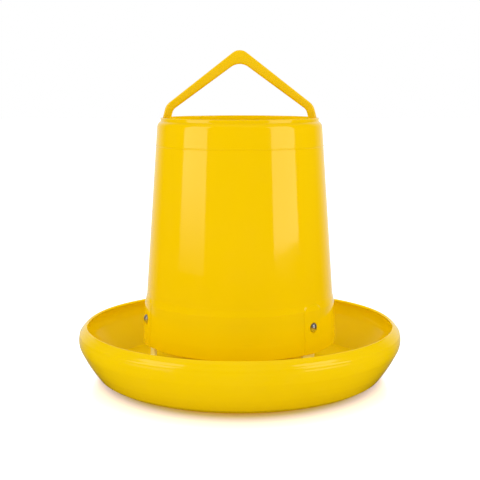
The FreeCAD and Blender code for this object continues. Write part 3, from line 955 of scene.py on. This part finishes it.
# %% [markdown]
# ## Studio light
# Two tall soft boxes stand to the left and right of the camera. Only the gloss sees them: each shows up as an
# upright pale band on the hopper, and their edges give the bands their straight sides. The left one fades
# towards its lower edge. The step leans back, so it would mirror the lamps once more below the bands. A black
# strip close to the feeder keeps them out of it, as a photographer's flag does.
#
# The rest comes from the room. It is nearly even for matt surfaces, and for glossy ones dim in front and pale
# behind, so that the sides get their light rims. Where the room's light hardly reaches, rings of small panels
# fill in: in the trough, in the hopper's mouth and round the skirt. The camera sees the room as plain white.

# %% Studio light
def area_lamp(name, size, radiance, location, turn):
    """Upright rectangular lamp that faces +Y before its turn about Z. Its power is radiance * pi * its area."""
    lamp = bpy.data.lights.new(name, "AREA")
    lamp.shape = "RECTANGLE"
    lamp.size, lamp.size_y = size
    lamp.energy = radiance * math.pi * size[0] * size[1]
    item = placed(name, lamp)
    item.location = location
    item.rotation_euler = (math.radians(90), 0, turn)
    return item


def soft_box(name, azimuths, heights, distance=1.2, radiance=2.0, fade=0):
    """Lamp that faces the feeder. Its lowest part, fade metres tall, gets darker towards the lower edge."""
    first, last = (math.radians(value) for value in azimuths)
    width = 2 * distance * math.sin(abs(last - first) / 2)
    tall = heights[1] - heights[0]
    middle = (first + last) / 2
    location = (distance * math.sin(middle), -distance * math.cos(middle), sum(heights) / 2)
    box = area_lamp(name, (width, tall), radiance, location, middle)
    box.visible_diffuse = False
    if fade:
        box.data.use_nodes = True
        tree = box.data.node_tree
        place = shader_node(tree, "NewGeometry").outputs["Parametric"]
        tree.links.new(along(tree, place, "Y", 0, fade / tall, 0, 1), tree.nodes["Emission"].inputs["Strength"])
    print(name, "is %.2f m wide, %.2f m tall and has %.0f W" % (width, tall, box.data.energy))


soft_box("left_soft_box", azimuths=(-79, -42), heights=(0.0, 1.30), fade=0.3)
soft_box("right_soft_box", azimuths=(40.5, 77.5), heights=(0.115, 1.30))


# %% Black strip and fill panels
def black_flag(name, radius, heights, azimuths, columns=60):
    """Curved black strip that only the gloss sees. It keeps the lamps out of one band of the surface."""
    turn = np.radians(np.linspace(*azimuths, columns))
    x, y = radius * np.sin(turn), -radius * np.cos(turn)
    rows = [np.column_stack([x, y, level + 0 * turn]) for level in heights]
    flag = stage_piece(name, np.stack(rows), close_columns=False)
    flag.visible_camera = flag.visible_diffuse = False
    black = bpy.data.materials.new(name + "_cloth")
    black.use_nodes = True
    shader = black.node_tree.nodes["Principled BSDF"]
    shader.inputs["Base Color"].default_value = (0, 0, 0, 1)
    shader.inputs["Specular IOR Level"].default_value = 0
    flag.data.materials.append(black)


black_flag("step_flag", radius=0.200, heights=(0.090, 0.121), azimuths=(-95, 95))


def fill_ring(name, radius, height, count, radiance, red, size=(0.05, 0.03), inward=False):
    """Small panels in a circle, with less red in their light. They light matt surfaces alone and don't show."""
    for number, angle in enumerate(even_angles(count)):
        location = (radius * math.cos(angle), radius * math.sin(angle), height)
        turn = angle + math.radians(90 if inward else -90)
        panel = area_lamp("%s_%02d" % (name, number), size, radiance, location, turn)
        panel.data.color = (red, 1, 1)
        panel.visible_glossy = panel.visible_camera = False


fill_ring("trough_fill", radius=0.112, height=0.075, count=12, radiance=2.0, red=0.65)
fill_ring("skirt_fill", radius=0.145, height=0.060, count=16, radiance=0.45, red=0.5, inward=True)
fill_ring("mouth_fill", radius=0.045, height=0.250, count=6, radiance=2.6, red=0.65, size=(0.04, 0.03))


# %% The room's light
def room(front, back, above, sides, gloss_above):
    """World for three kinds of rays. Matt surfaces get more light from above, behind and the sides."""
    world = bpy.data.worlds.new("room")
    world.use_nodes = True
    world.cycles.sampling_method = "NONE"
    tree = world.node_tree
    tree.nodes.clear()
    path = shader_node(tree, "LightPath")
    direction = shader_node(tree, "TexCoord").outputs["Generated"]
    level = along(tree, direction, "Y", -0.8, 0.8, front, back)
    for axis, start, end, more in (("Z", 0.2, 0.9, above), ("X", 0.2, 0.8, sides), ("X", -0.2, -0.8, sides)):
        extra = along(tree, direction, axis, start, end, 0, more)
        level = shader_node(tree, "Math", level, extra, operation="ADD").outputs[0]
    behind = along(tree, direction, "Y", *behind_feeder)
    up = along(tree, direction, "Z", 0.55, 0.9, 0, gloss_above)
    pale = shader_node(tree, "Math", behind, up, operation="MAXIMUM").outputs[0]
    white = (1, 1, 1, 1)
    matt, gloss, seen = (shader_node(tree, "Background", Color=white, Strength=strength).outputs[0]
                         for strength in (level, pale, 1))
    lit = choice(tree, path.outputs["Is Glossy Ray"], matt, gloss)
    shown = choice(tree, path.outputs["Is Camera Ray"], lit, seen)
    shader_node(tree, "OutputWorld", Surface=shown)
    return world


bpy.context.scene.world = room(front=0.87, back=1.1, above=0.2, sides=0.25, gloss_above=0.12)
lamps = [item for item in bpy.context.scene.objects if item.type == "LIGHT"]
print("lit by", len(lamps), "lamps and panels and by the room")

# %% [markdown]
# ## Camera
# A product shot like this is taken with a long lens from a little above, so the rims are flat ellipses and the
# sides nearly parallel. The lens, height and tilt follow from the ellipses of the pan's lip and hopper's rim.

# %% Camera
lens = bpy.data.cameras.new("camera")
lens.lens = 77.4
lens.sensor_width = 36
tilt_down = 8.476
camera = placed("camera", lens)
camera.location = (0.0003, -1.1262, 0.3172)
camera.rotation_euler = (math.radians(90 - tilt_down), 0, 0)
bpy.context.scene.camera = camera
bpy.context.scene.view_settings.view_transform = "Standard"
print("camera at", [round(value, 3) for value in camera.location])
